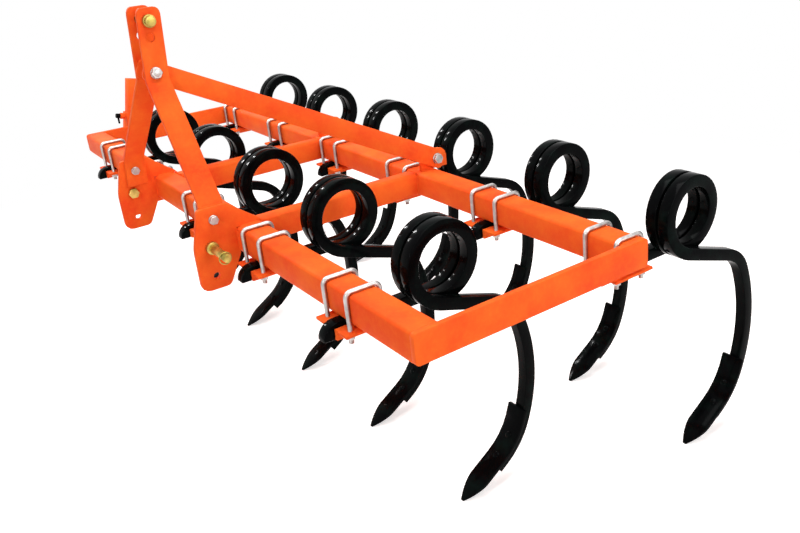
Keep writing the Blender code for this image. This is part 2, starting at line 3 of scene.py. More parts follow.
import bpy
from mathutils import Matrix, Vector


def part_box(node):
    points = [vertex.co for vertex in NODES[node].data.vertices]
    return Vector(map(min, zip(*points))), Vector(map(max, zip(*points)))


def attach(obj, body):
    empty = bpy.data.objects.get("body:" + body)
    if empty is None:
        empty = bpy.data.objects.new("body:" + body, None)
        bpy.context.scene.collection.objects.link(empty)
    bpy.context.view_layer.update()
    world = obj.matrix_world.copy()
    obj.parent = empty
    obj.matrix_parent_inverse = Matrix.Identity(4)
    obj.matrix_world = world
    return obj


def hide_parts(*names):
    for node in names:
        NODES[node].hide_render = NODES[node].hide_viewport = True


bl_info = {
    "name": "Spring Tine Cultivator",
    "version": (1, 0, 0),
    "blender": (4, 5, 0),
    "location": "View3D > Sidebar > Cultivator",
    "description": "Dresses the packed cultivator with its fine pieces, finishes and studio",
    "category": "Object",
}

from math import atan2, cos, radians, sin

import bmesh
import bpy
from bpy.props import FloatProperty, FloatVectorProperty, IntProperty, PointerProperty
from mathutils import Matrix, Vector

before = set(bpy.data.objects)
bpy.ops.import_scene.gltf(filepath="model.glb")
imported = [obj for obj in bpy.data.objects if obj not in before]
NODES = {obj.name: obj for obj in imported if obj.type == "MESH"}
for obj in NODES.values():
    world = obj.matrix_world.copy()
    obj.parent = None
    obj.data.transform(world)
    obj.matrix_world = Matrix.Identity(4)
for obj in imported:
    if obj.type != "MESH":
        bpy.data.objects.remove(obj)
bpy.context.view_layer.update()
ROOT = "frame"
STAND = "stand"

# Places that the CAD model gives: the beams' levels and faces, and the middle of the machine
FRONT_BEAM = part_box("front_beam")
REAR_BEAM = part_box("rear_beam")
UNDERSIDE = FRONT_BEAM[0].z
BEAM = FRONT_BEAM[1].z - FRONT_BEAM[0].z
FRONT_FACE = FRONT_BEAM[0].y
MIDDLE_X = (FRONT_BEAM[0].x + FRONT_BEAM[1].x) / 2
GAP = 0.0003


def hex_colour(text):
    """A linear RGBA colour from an sRGB hex code such as #F0481C."""
    channels = [int(text[i:i + 2], 16) / 255 for i in (1, 3, 5)]
    linear = [c / 12.92 if c <= 0.04045 else ((c + 0.055) / 1.055) ** 2.4 for c in channels]
    return (*linear, 1.0)


def colour_property(name, text, description):
    return FloatVectorProperty(name=name, description=description, subtype="COLOR", size=4,
                               min=0, max=1, default=hex_colour(text))


def length_property(name, value, description):
    return FloatProperty(name=name, description=description, default=value, min=0, unit="LENGTH",
                         precision=4)


class TineSettings(bpy.types.PropertyGroup):
    bar: length_property("Bar", 0.032, "Side of the square spring steel")
    edge: length_property("Rolled edge", 0.0045, "Radius along the bar's four edges")
    pitch: length_property("Row pitch", 0.460, "Distance between tines on one beam")
    coil_radius: length_property("Coil radius", 0.078, "Inside radius of the coil")
    coil_pitch: length_property("Coil pitch", 0.040, "How far one turn moves across")
    coil_behind: length_property("Coil behind beam", 0.173, "From the beam's rear face to the coil's axis")
    coil_steps: IntProperty(name="Steps a turn", description="Sections in one turn of the coil",
                            default=40, min=12, max=96)
    shovel_width: length_property("Shovel width", 0.066, "Width of the shovel's upper part")
    shovel_thickness: length_property("Shovel thickness", 0.010, "Thickness of the shovel's plate")


class ClampSettings(bpy.types.PropertyGroup):
    spacing: length_property("U-bolt spacing", 0.104, "Between the two U-bolts of a clamp")
    wire: length_property("U-bolt wire", 0.012, "Diameter of the U-bolt's rod")
    bend: length_property("U-bolt bend", 0.014, "Radius of the rod's bends at its middle")
    wall: length_property("Saddle wall", 0.008, "Thickness of the pressed saddle")
    drop: length_property("Saddle drop", 0.012, "From the beam's underside to the saddle's flanges")
    end: length_property("Saddle end", 0.016, "How far the saddle runs past the U-bolts")
    side: length_property("Saddle side", 0.014, "How far the flanges run past the U-bolts")
    nut: length_property("Nut", 0.019, "Nut across its flats")
    nut_height: length_property("Nut height", 0.010, "Height of the nut")
    thread_out: length_property("Thread out", 0.012, "Thread below the nut")


class StandSettings(bpy.types.PropertyGroup):
    lean: FloatProperty(name="Lean", description="How far the stand leans back from upright",
                        subtype="ANGLE", default=radians(12.5), min=0, max=radians(45))
    back: length_property("Back", 0.2135, "From the front beam's face to the stand's axis")
    tube: length_property("Tube", 0.060, "Side of the stand's square tube")
    sleeve: length_property("Sleeve", 0.073, "Side of the sleeve that the stand slides in")
    screw_height: length_property("Screw height", 0.030, "From the beams' top along the stand")
    boss: length_property("Boss", 0.026, "Diameter of the nut welded to the sleeve")
    boss_length: length_property("Boss length", 0.022, "Length of that nut")
    screw: length_property("Screw", 0.014, "Diameter of the clamp screw")
    head: length_property("Screw head", 0.020, "Diameter of the screw's head")
    head_length: length_property("Head length", 0.018, "Length of the screw's head")
    handle: length_property("Handle", 0.034, "Length of the handle that hangs from the head")
    handle_rod: length_property("Handle rod", 0.008, "Diameter of the handle")


class FinishSettings(bpy.types.PropertyGroup):
    orange: colour_property("Orange", "#F66A28", "Powder coat on frame, mast and clamps")
    orange_thick: colour_property("Orange, thick", "#EE4E22", "Powder coat where it is thick")
    orange_thin: colour_property("Orange, thin", "#FF8E30", "Powder coat where it is thin")
    black: colour_property("Black", "#050607", "Enamel on tines and shovels")
    # A green-blue tint for the black enamel, laid in random patches as a painted reflection
    black_green_reflection: colour_property("Black, thin", "#091512", "Enamel where it is thin")
    zinc: colour_property("Zinc", "#C9C5C2", "Plating on U-bolts, nuts and bolts")
    zinc_dull: colour_property("Zinc, dull", "#A9A5A2", "Plating where its passivation is uneven")
    yellow: colour_property("Yellow zinc", "#D2B868", "Plating on the linkage pins")
    yellow_dull: colour_property("Yellow zinc, dull", "#958640", "Pin plating where it is uneven")


class StageSettings(bpy.types.PropertyGroup):
    floor: colour_property("Floor", "#F4F4F3", "Colour of the studio floor")
    floor_glow: FloatProperty(name="Floor glow", min=0, max=1, default=0.56,
                              description="White that the camera sees over the floor's own")
    key_power: FloatProperty(name="Key light", min=0, default=150.0, unit="POWER",
                             description="Power of the large light overhead")
    side_power: FloatProperty(name="Side light", min=0, default=76.0, unit="POWER",
                              description="Power of the light on the end plate's side")
    strip_power: FloatProperty(name="Strip light", min=0, default=42.0, unit="POWER",
                               description="Power of each narrow light that makes glints")
    sky_tint: colour_property("Sky tint", "#FFCFC2", "Warm tint of the even light")
    sky: FloatProperty(name="Sky", min=0, max=2, default=0.24,
                       description="Strength of the even light from all round")


def settings(group):
    return getattr(bpy.context.scene, "cultivator_" + group)


# Materials

def new_material(name):
    """Makes a node material and gives its tree and its Principled shader."""
    made = bpy.data.materials.new(name)
    made.use_nodes = True
    return made.node_tree, made.node_tree.nodes["Principled BSDF"]


def add_node(tree, kind, links=None, **values):
    """A node of this kind; values set its sockets or fields, links join (socket, source output)."""
    node = tree.nodes.new(kind)
    for key, value in values.items():
        socket = key.replace("_", " ")
        if socket in node.inputs:
            node.inputs[socket].default_value = value
        else:
            setattr(node, key, value)
    for socket, source in (links or {}).items():
        tree.links.new(source, node.inputs[socket])
    return node


def set_ramp(node, low, high, start=0.35, end=0.65):
    """Gives a colour ramp its two colours and the places where they start and end."""
    for element, position, colour in zip(node.color_ramp.elements, (start, end), (low, high)):
        element.position = position
        element.color = colour


def powder_coat():
    """Polyester powder coat, sprayed dry and baked on steel.

    A semi-gloss skin with fine orange peel, a cloudy shift in shade where the coat is
    thicker, and thinner, yellower film in small specks.
    """
    finish = settings("finish")
    tree, shader = new_material("powder_coat_orange")
    place = tree.nodes.new("ShaderNodeTexCoord").outputs["Object"]
    # Clouds about 110 mm across, specks about 12 mm, peel about 2.5 mm
    cloud = add_node(tree, "ShaderNodeTexNoise", {"Vector": place}, Scale=9.0, Detail=4.0)
    speck = add_node(tree, "ShaderNodeTexNoise", {"Vector": place}, Scale=85.0, Detail=5.0, Roughness=0.7)
    peel = add_node(tree, "ShaderNodeTexNoise", {"Vector": place}, Scale=400.0, Detail=2.0)
    shade = add_node(tree, "ShaderNodeValToRGB", {"Fac": cloud.outputs["Fac"]})
    set_ramp(shade, finish.orange, finish.orange_thick, 0.35, 0.70)
    thin = add_node(tree, "ShaderNodeMapRange", {"Value": speck.outputs["Fac"]},
                    From_Min=0.45, From_Max=0.80, To_Min=0.0, To_Max=0.22)
    colour = add_node(tree, "ShaderNodeMix", data_type="RGBA")
    tree.links.new(thin.outputs["Result"], colour.inputs["Factor"])
    tree.links.new(shade.outputs["Color"], colour.inputs["A"])
    colour.inputs["B"].default_value = finish.orange_thin
    tree.links.new(colour.outputs["Result"], shader.inputs["Base Color"])
    rough = add_node(tree, "ShaderNodeMapRange", {"Value": speck.outputs["Fac"]}, To_Min=0.38, To_Max=0.52)
    tree.links.new(rough.outputs["Result"], shader.inputs["Roughness"])
    shader.inputs["Specular IOR Level"].default_value = 0.035
    skin = add_node(tree, "ShaderNodeBump", {"Height": peel.outputs["Fac"]},
                    Distance=0.0002, Strength=0.35)
    tree.links.new(skin.outputs["Normal"], shader.inputs["Normal"])


def spring_enamel():
    """Gloss alkyd enamel, dipped over hot-wound spring steel.

    Near black with a deep gloss that breaks up over the mill scale under it, and random
    patches of faint green-blue that are a painted reflection.
    """
    finish = settings("finish")
    tree, shader = new_material("gloss_black_enamel")
    place = tree.nodes.new("ShaderNodeTexCoord").outputs["Object"]
    # Patches of painted green-blue reflection about 45 mm across, scale marks about 14 mm, dust about 3 mm
    film = add_node(tree, "ShaderNodeTexNoise", {"Vector": place}, Scale=22.0, Detail=5.0, Roughness=0.6)
    scale = add_node(tree, "ShaderNodeTexNoise", {"Vector": place}, Scale=70.0, Detail=4.0, Roughness=0.6)
    dust = add_node(tree, "ShaderNodeTexNoise", {"Vector": place}, Scale=330.0, Detail=2.0)
    shade = add_node(tree, "ShaderNodeValToRGB", {"Fac": film.outputs["Fac"]})
    # The patches mix in a green-blue tint that is a painted reflection, not the enamel's own colour
    set_ramp(shade, finish.black, finish.black_green_reflection, 0.48, 0.78)
    tree.links.new(shade.outputs["Color"], shader.inputs["Base Color"])
    rough = add_node(tree, "ShaderNodeMapRange", {"Value": dust.outputs["Fac"]}, To_Min=0.08, To_Max=0.16)
    tree.links.new(rough.outputs["Result"], shader.inputs["Roughness"])
    shader.inputs["Specular IOR Level"].default_value = 0.024
    skin = add_node(tree, "ShaderNodeBump", {"Height": scale.outputs["Fac"]},
                    Distance=0.0006, Strength=0.35)
    tree.links.new(skin.outputs["Normal"], shader.inputs["Normal"])


def plated(name, colour, dull):
    """Electroplated steel rod and bar, passivated.

    A satin metal, cloudy where the passivation is uneven, with fine drawing marks.
    """
    tree, shader = new_material(name)
    place = tree.nodes.new("ShaderNodeTexCoord").outputs["Object"]
    # Clouds about 20 mm across, drawing marks about 1.5 mm apart
    cloud = add_node(tree, "ShaderNodeTexNoise", {"Vector": place}, Scale=50.0, Detail=3.0)
    marks = add_node(tree, "ShaderNodeTexNoise", {"Vector": place}, Scale=650.0, Detail=2.0)
    shade = add_node(tree, "ShaderNodeValToRGB", {"Fac": cloud.outputs["Fac"]})
    set_ramp(shade, colour, dull)
    tree.links.new(shade.outputs["Color"], shader.inputs["Base Color"])
    shader.inputs["Metallic"].default_value = 1.0
    rough = add_node(tree, "ShaderNodeMapRange", {"Value": marks.outputs["Fac"]}, To_Min=0.30, To_Max=0.50)
    tree.links.new(rough.outputs["Result"], shader.inputs["Roughness"])
    skin = add_node(tree, "ShaderNodeBump", {"Height": marks.outputs["Fac"]},
                    Distance=0.00012, Strength=0.3)
    tree.links.new(skin.outputs["Normal"], shader.inputs["Normal"])


def make_materials():
    finish = settings("finish")
    powder_coat()
    spring_enamel()
    plated("zinc_plate", finish.zinc, finish.zinc_dull)
    plated("yellow_zinc_plate", finish.yellow, finish.yellow_dull)


# Modelling

def deselect():
    if bpy.context.object and bpy.context.object.mode != "OBJECT":
        bpy.ops.object.mode_set(mode="OBJECT")
    bpy.ops.object.select_all(action="DESELECT")


def use(obj):
    """Makes this the only selected and the active object."""
    deselect()
    obj.select_set(True)
    bpy.context.view_layer.objects.active = obj


def edit(obj):
    use(obj)
    bpy.ops.object.mode_set(mode="EDIT")


def apply_modifier(obj, kind, **values):
    """Adds a modifier of this kind, sets it and applies it."""
    use(obj)
    modifier = obj.modifiers.new(kind.lower(), kind)
    for key, value in values.items():
        setattr(modifier, key, value)
    bpy.ops.object.modifier_apply(modifier=modifier.name)


def round_edges(obj, width, segments=2, angle=30):
    apply_modifier(obj, "BEVEL", width=width, segments=segments, limit_method="ANGLE",
                   angle_limit=radians(angle))


def smooth(obj, angle=40):
    use(obj)
    bpy.ops.object.shade_smooth_by_angle(angle=radians(angle))


def outward(obj):
    edit(obj)
    bpy.ops.mesh.select_all(action="SELECT")
    bpy.ops.mesh.normals_make_consistent(inside=False)
    bpy.ops.object.mode_set(mode="OBJECT")


def finish_piece(obj, name, material, body, *replaced):
    """Names a piece, applies its place, gives it its finish and its body, and hides the nodes it replaces.
    """
    use(obj)
    bpy.ops.object.transform_apply(location=True, rotation=True, scale=True)
    obj.name = name
    obj.data.name = name
    obj.data.materials.clear()
    obj.data.materials.append(bpy.data.materials[material])
    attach(obj, body)
    if replaced:
        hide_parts(*replaced)


def copy_at(obj, offset):
    """A copy with its own mesh, moved by this offset, its place in its mesh."""
    use(obj)
    bpy.ops.object.duplicate(linked=False)
    made = bpy.context.object
    made.location = made.location + Vector(offset)
    bpy.ops.object.transform_apply(location=True)
    return made


def join(first, *others):
    use(first)
    for other in others:
        other.select_set(True)
    bpy.ops.object.join()
    return first


def remove(obj):
    use(obj)
    bpy.ops.object.delete()


def sweep(points):
    """Extrudes the selected end face through (offset, turn about X, scale) stations.

    Each station's turn is in degrees, positive downwards for a bar that heads back.
    """
    at = Vector(points[0][0])
    heading = points[0][1]
    size = 1.0
    for place, target, scale in points[1:]:
        place = Vector(place)
        bpy.ops.mesh.extrude_region_move(TRANSFORM_OT_translate={"value": place - at})
        if target != heading:
            bpy.ops.transform.rotate(value=radians(target - heading), orient_axis="X",
                                     orient_type="GLOBAL", center_override=place)
        if scale != size:
            factor = scale / size
            bpy.ops.transform.resize(value=(factor, factor, factor), center_override=place)
        at, heading, size = place, target, scale


def turned_stations(start, heading, moves):
    """Stations (back, up, heading) along straight moves and bends.

    A straight move is (length, None, 1) and a bend (radius, turn in degrees, steps).
    """
    back, up = start
    stations = [(back, up, heading)]
    for size, turn, steps in moves:
        if turn is None:
            back += size * cos(radians(heading))
            up -= size * sin(radians(heading))
            stations.append((back, up, heading))
            continue
        if turn < 0:
            size = -size
        for _ in range(steps):
            angle, step = radians(heading), radians(turn / steps)
            back += size * (sin(angle + step) - sin(angle))
            up += size * (cos(angle + step) - cos(angle))
            heading += turn / steps
            stations.append((back, up, heading))
    return stations


# Tines

# The nose in front of the beam, and the hook's radius
NOSE_REACH = 0.016
NOSE_RADIUS = 0.024
# The bar leaves its coil at this slope, runs straight, and bends by (radius, degrees)
EXIT_SLOPE = 18.0
EXIT_RUN = 0.175
KNEE = (0.105, 50.0)
SHANK = (0.43, 44.0)
TOE = (0.20, 36.0)
TOE_RUN = 0.020
# The shovel starts where the shank is this steep, and its point runs past the shank's end
SHOVEL_TOP_SLOPE = 103.0
SHOVEL_OVERHANG = 0.125
SHOVEL_POINT = 0.075
SHOVEL_POINT_STEPS = 10
SHOVEL_TIP_SHARE = 0.16
SHOVEL_LEAF = 1.7
SHOVEL_EDGE = 0.0018
# Plough bolts: heights above the ground, how deep they start, and (distance, diameter) profiles
SHOVEL_BOLT_HEIGHTS = (0.124, 0.080)
BOLT_HEAD_SUNK = 0.0006
BOLT_NUT_SUNK = 0.001
BOLT_HEAD_PROFILE = [(0, 0.019), (0.0016, 0.019), (0.0030, 0.0155), (0.0038, 0.008)]
BOLT_NUT_PROFILE = [(0, 0.0185), (0.0060, 0.0185), (0.0070, 0.0160)]


def tine_level():
    return UNDERSIDE - settings("tine").bar / 2 - GAP


def coil_exit():
    """Where the bar leaves its coil, as (back from the beam's rear face, up from the ground)."""
    tine = settings("tine")
    mean = tine.coil_radius + tine.bar / 2
    slope = radians(EXIT_SLOPE)
    return tine.coil_behind - mean * sin(slope), tine_level() + mean * (1 - cos(slope))


def shank_stations(fine=1):
    moves = [(EXIT_RUN, None, 1), (KNEE[0], KNEE[1], 5 * fine), (SHANK[0], SHANK[1], 8 * fine),
             (TOE[0], TOE[1], 4 * fine), (TOE_RUN, None, 1)]
    return turned_stations(coil_exit(), EXIT_SLOPE, moves)


def tine_places():
    """Each tine's node ending, its X and the Y of its beam's rear face."""
    pitch = settings("tine").pitch
    places = []
    for row, count, face in (("front", 5, FRONT_BEAM[1].y), ("rear", 6, REAR_BEAM[1].y)):
        for index in range(count):
            places.append((f"{row}_{index + 1}", MIDDLE_X + (index - (count - 1) / 2) * pitch, face))
    return places


def plane_section(width, depth, location, heading):
    """A flat rectangle across the bar's path, ready to be extruded along it."""
    deselect()
    bpy.ops.mesh.primitive_plane_add(size=1, location=location)
    bpy.ops.transform.resize(value=(width, depth, 1))
    bpy.ops.object.transform_apply(location=False, rotation=False, scale=True)
    obj = bpy.context.object
    edit(obj)
    bpy.ops.mesh.select_all(action="SELECT")
    turn = heading + 90
    if turn:
        bpy.ops.transform.rotate(value=radians(turn), orient_axis="X", orient_type="GLOBAL",
                                 center_override=location)
    return obj


def spring_bar():
    """One tine of square bar: hooked nose, clamped run, two coil turns and the curved shank."""
    tine = settings("tine")
    mean = tine.coil_radius + tine.bar / 2
    wound = 720 - EXIT_SLOPE
    across = shank_across()
    nose_y = -BEAM - NOSE_REACH
    start = (nose_y - NOSE_RADIUS, tine_level() - NOSE_RADIUS)
    steps = round(tine.coil_steps * wound / 360)
    before = turned_stations(start, -90, [(NOSE_RADIUS, 90, 6), (tine.coil_behind - nose_y, None, 1)])
    coil = turned_stations(before[-1][:2], 0, [(mean, -wound, steps)])[1:]
    stations = [((0, y, z), h, 1) for y, z, h in before]
    stations += [((across * (i + 1) / steps, y, z), h, 1) for i, (y, z, h) in enumerate(coil)]
    whole_turns = -wound - EXIT_SLOPE
    stations += [((across, y, z), h + whole_turns, 1) for y, z, h in shank_stations(3)[1:]]
    obj = plane_section(tine.bar, tine.bar, stations[0][0], stations[0][1])
    sweep(stations)
    outward(obj)
    round_edges(obj, tine.edge, 3)
    smooth(obj, 50)
    return obj


class CULTIVATOR_OT_tines(bpy.types.Operator):
    """Winds the eleven spring tines out of square bar"""
    bl_idname = "cultivator.tines"
    bl_label = "Spring Tines"

    def execute(self, context):
        model = spring_bar()
        for ending, x, face in tine_places():
            made = copy_at(model, (x, face, 0))
            finish_piece(made, f"spring_tine_{ending}", "gloss_black_enamel", ROOT, f"tine_{ending}")
        remove(model)
        return {"FINISHED"}


def blade_stations():
    """(back, up, heading, share of the full width) from the blade's top to its point."""
    tine = settings("tine")
    inward = tine.bar / 2 + GAP + tine.shovel_thickness / 2
    stations = []
    for y, z, h in shank_stations():
        if h > SHOVEL_TOP_SLOPE:
            slope = radians(h)
            stations.append((y - inward * sin(slope), z - inward * cos(slope), h, 1))
    y, z, h, _ = stations[-1]
    slope = radians(h)
    for step in range(SHOVEL_POINT_STEPS + 1):
        along = step / SHOVEL_POINT_STEPS
        reach = SHOVEL_OVERHANG - SHOVEL_POINT + SHOVEL_POINT * along
        share = 1 - (1 - SHOVEL_TIP_SHARE) * along ** SHOVEL_LEAF
        stations.append((y + reach * cos(slope), z - reach * sin(slope), h, share))
    return stations


def shank_across():
    """How far the shank lies to one side of its clamp, after the coil's turns."""
    return settings("tine").coil_pitch * (720 - EXIT_SLOPE) / 360


def shovel_blade():
    """One reversible shovel: a curved plate on the shank's front, drawn out to a leaf point."""
    tine = settings("tine")
    stations = [((shank_across(), y, z), h, share) for y, z, h, share in blade_stations()]
    obj = plane_section(tine.shovel_width, tine.shovel_thickness, stations[0][0], stations[0][1])
    sweep(stations)
    outward(obj)
    round_edges(obj, SHOVEL_EDGE)
    smooth(obj, 40)
    return obj


def shovel_bolts():
    """The two plough bolts of one shovel: a low domed head in front, a nut behind the shank."""
    tine = settings("tine")
    stations = blade_stations()
    pieces = []
    for height in SHOVEL_BOLT_HEIGHTS:
        for (y, z, h, _), (next_y, next_z, next_h, _) in zip(stations, stations[1:]):
            if next_z <= height < z:
                share = (z - height) / (z - next_z)
                slope = radians(h + share * (next_h - h))
                place = Vector((shank_across(), y + share * (next_y - y), height))
                ahead = Vector((0, -sin(slope), -cos(slope)))
                front = place + ahead * (tine.shovel_thickness / 2 - BOLT_HEAD_SUNK)
                back = place - ahead * (tine.shovel_thickness / 2 + GAP + tine.bar - BOLT_NUT_SUNK)
                pieces.append(turned(front, ahead, BOLT_HEAD_PROFILE))
                pieces.append(turned(back, -ahead, BOLT_NUT_PROFILE, 6))
    return join(*pieces)


class CULTIVATOR_OT_shovels(bpy.types.Operator):
    """Forges the eleven reversible shovels"""
    bl_idname = "cultivator.shovels"
    bl_label = "Shovels"

    def execute(self, context):
        blade, bolts = shovel_blade(), shovel_bolts()
        for ending, x, face in tine_places():
            node = f"shovel_{ending}"
            for model, kind in ((blade, "blade"), (bolts, "bolts")):
                made = copy_at(model, (x, face, 0))
                finish_piece(made, f"shovel_{kind}_{ending}", "gloss_black_enamel", ROOT, node)
        remove(blade)
        remove(bolts)
        return {"FINISHED"}


# Clamps

SADDLE_EDGE = 0.0022
# From one ridge of the rolled thread to the next groove, and a groove's size beside a ridge's
THREAD_STEP = 0.000875
THREAD_GROOVE = 0.89
# A hexagon's corners lie across / HEXAGON from its middle; the rest are shares of its size
HEXAGON = 1.732
NUT_CHAMFER_IN = 0.07
NUT_CHAMFER_UP = 0.09
NUT_EDGE = 0.02
# A nut's body without its washer face, and the washer under it beside the nut
NUT_BODY = 0.8
NUT_WASHER = 0.002
NUT_WASHER_ACROSS = 1.25


def saddle():
    """One pressed saddle: a strip folded into a hat section round the tine's bar."""
    clamp, tine = settings("clamp"), settings("tine")
    inner = tine.bar / 2 + GAP
    outer = clamp.spacing / 2 + clamp.wire / 2 + clamp.side
    flange = UNDERSIDE - clamp.drop
    floor = UNDERSIDE - tine.bar - 2 * GAP
    length = BEAM + 2 * (GAP + clamp.wire + clamp.end)
    deselect()
    bpy.ops.mesh.primitive_plane_add(size=1, location=(-(outer + inner) / 2, -BEAM / 2, flange))
    obj = bpy.context.object
    bpy.ops.transform.resize(value=(outer - inner, length, 1))
    bpy.ops.object.transform_apply(location=True, rotation=False, scale=True)
    edit(obj)
    mesh = bmesh.from_edit_mesh(obj.data)
    bpy.ops.mesh.select_mode(type="EDGE")
    bpy.ops.mesh.select_all(action="DESELECT")
    for edge in mesh.edges:
        edge.select = all(v.co.x > -inner - 0.001 for v in edge.verts)
    bmesh.update_edit_mesh(obj.data)
    for move in ((0, 0, floor - flange), (2 * inner, 0, 0), (0, 0, flange - floor), (outer - inner, 0, 0)):
        bpy.ops.mesh.extrude_region_move(TRANSFORM_OT_translate={"value": move})
    bpy.ops.mesh.select_all(action="SELECT")
    bpy.ops.mesh.normals_make_consistent(inside=False)
    bpy.ops.object.mode_set(mode="OBJECT")
    if obj.data.polygons[0].normal.z > 0:
        edit(obj)
        bpy.ops.mesh.select_all(action="SELECT")
        bpy.ops.mesh.flip_normals()
        bpy.ops.object.mode_set(mode="OBJECT")
    apply_modifier(obj, "SOLIDIFY", thickness=clamp.wall, offset=1, use_even_offset=True)
    round_edges(obj, SADDLE_EDGE, 3)
    smooth(obj, 45)
    return obj


def rod_circle(diameter, location, vertices=16):
    deselect()
    bpy.ops.mesh.primitive_circle_add(vertices=vertices, radius=diameter / 2, fill_type="NGON",
                                      location=location)
    obj = bpy.context.object
    edit(obj)
    bpy.ops.mesh.select_all(action="SELECT")
    return obj


def u_bolt(x):
    """One U-bolt over the beam at this X, from the end of one leg to the end of the other."""
    clamp = settings("clamp")
    reach = BEAM / 2 + GAP + clamp.wire / 2
    top = UNDERSIDE + BEAM + GAP + clamp.wire / 2
    bottom = UNDERSIDE - clamp.drop - clamp.wall - clamp.nut_height - clamp.thread_out
    front = -BEAM / 2 - reach
    stations = turned_stations((front, bottom), -90, [
        (top - clamp.bend - bottom, None, 1), (clamp.bend, 90, 6),
        (2 * (reach - clamp.bend), None, 1), (clamp.bend, 90, 6), (top - clamp.bend - bottom, None, 1)])
    # The thread's ridges show below the nuts
    half_pitches = round(clamp.thread_out / THREAD_STEP)
    ridges = [(bottom + THREAD_STEP * i, THREAD_GROOVE if i % 2 else 1) for i in range(half_pitches)]
    rear = stations[-1][0]
    line = [((x, front, z), -90, size) for z, size in ridges]
    line += [((x, y, z), h, 1) for y, z, h in stations[1:-1]]
    line += [((x, rear, z), 90, size) for z, size in reversed(ridges)]
    obj = rod_circle(clamp.wire, (x, front, bottom))
    sweep(line)
    outward(obj)
    smooth(obj, 50)
    return obj


def hexagon_nut(location, across, height, axis="Z"):
    """A hexagon nut or head centred here, chamfered to a flat disc at both ends."""
    deselect()
    bpy.ops.mesh.primitive_cylinder_add(vertices=6, radius=across / HEXAGON, depth=height,
                                        location=location)
    obj = bpy.context.object
    edit(obj)
    for side in (1, -1):
        mesh = bmesh.from_edit_mesh(obj.data)
        bpy.ops.mesh.select_mode(type="FACE")
        bpy.ops.mesh.select_all(action="DESELECT")
        for face in mesh.faces:
            face.select = face.normal.z * side > 0.9
        bmesh.update_edit_mesh(obj.data)
        bpy.ops.mesh.inset(thickness=across * NUT_CHAMFER_IN, depth=0)
        bpy.ops.transform.translate(value=(0, 0, side * height * NUT_CHAMFER_UP))
    bpy.ops.object.mode_set(mode="OBJECT")
    round_edges(obj, across * NUT_EDGE)
    smooth(obj, 18)
    if axis == "X":
        use(obj)
        bpy.ops.transform.rotate(value=radians(90), orient_axis="Y", center_override=location)
        bpy.ops.object.transform_apply(location=True, rotation=True)
    return obj


def washer(location, diameter, thickness, axis="Z"):
    deselect()
    turn = (0, radians(90), 0) if axis == "X" else (0, 0, 0)
    bpy.ops.mesh.primitive_cylinder_add(vertices=28, radius=diameter / 2, depth=thickness,
                                        location=location, rotation=turn)
    obj = bpy.context.object
    bpy.ops.object.transform_apply(location=True, rotation=True)
    round_edges(obj, thickness / 4)
    smooth(obj)
    return obj


def turned(start, axis, profile, vertices=24):
    """A round or many-sided piece along an axis; its profile is (distance along, diameter)."""
    first = profile[0][1]
    obj = rod_circle(first, (0, 0, profile[0][0]), vertices)
    sweep([((0, 0, along), 0, diameter / first) for along, diameter in profile])
    outward(obj)
    use(obj)
    obj.rotation_euler = Vector(axis).to_track_quat("Z", "Y").to_euler()
    obj.location = start
    bpy.ops.object.transform_apply(location=True, rotation=True)
    smooth(obj, 40)
    return obj


class CULTIVATOR_OT_clamps(bpy.types.Operator):
    """Presses the saddles and bends the U-bolts that hold each tine under its beam"""
    bl_idname = "cultivator.clamps"
    bl_label = "Saddles and U-bolts"

    def execute(self, context):
        clamp = settings("clamp")
        plate = saddle()
        half = clamp.spacing / 2
        bolts = join(u_bolt(-half), u_bolt(half))
        under = UNDERSIDE - clamp.drop - clamp.wall
        reach = BEAM / 2 + GAP + clamp.wire / 2
        fastened = []
        for x in (-half, half):
            for y in (-BEAM / 2 - reach, -BEAM / 2 + reach):
                fastened.append(washer((x, y, under - NUT_WASHER / 2), clamp.nut * NUT_WASHER_ACROSS,
                                       NUT_WASHER))
                fastened.append(hexagon_nut((x, y, under - NUT_WASHER - clamp.nut_height / 2), clamp.nut,
                                            clamp.nut_height * NUT_BODY))
        nuts = join(*fastened)
        for ending, x, face in tine_places():
            node = f"clamp_{ending}"
            for model, kind, material in ((plate, "saddle", "powder_coat_orange"),
                                          (bolts, "u_bolts", "zinc_plate"), (nuts, "nuts", "zinc_plate")):
                finish_piece(copy_at(model, (x, face, 0)), f"{kind}_{ending}", material, ROOT, node)
        for model in (plate, bolts, nuts):
            remove(model)
        return {"FINISHED"}


# Painted steel

SLIDING = ("stand_leg", "stand_foot")
PAINTED = (
    "front_beam", "rear_beam", "left_end_plate", "right_end_plate", "left_inner_bar",
    "right_inner_bar", "left_mast_leg", "right_mast_leg", "left_hitch_plate",
    "right_hitch_plate", "left_brace", "right_brace", "left_brace_bracket",
    "right_brace_bracket", "stand_sleeve", *SLIDING,
)
PAINTED_EDGE = 0.0012

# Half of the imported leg's width, what stays round its holes, and where its edges are drawn in to
LEG_HALF = 0.042
LEG_KEEP = 0.0145
LEG_FRONT = 0.030
LEG_REAR = 0.037


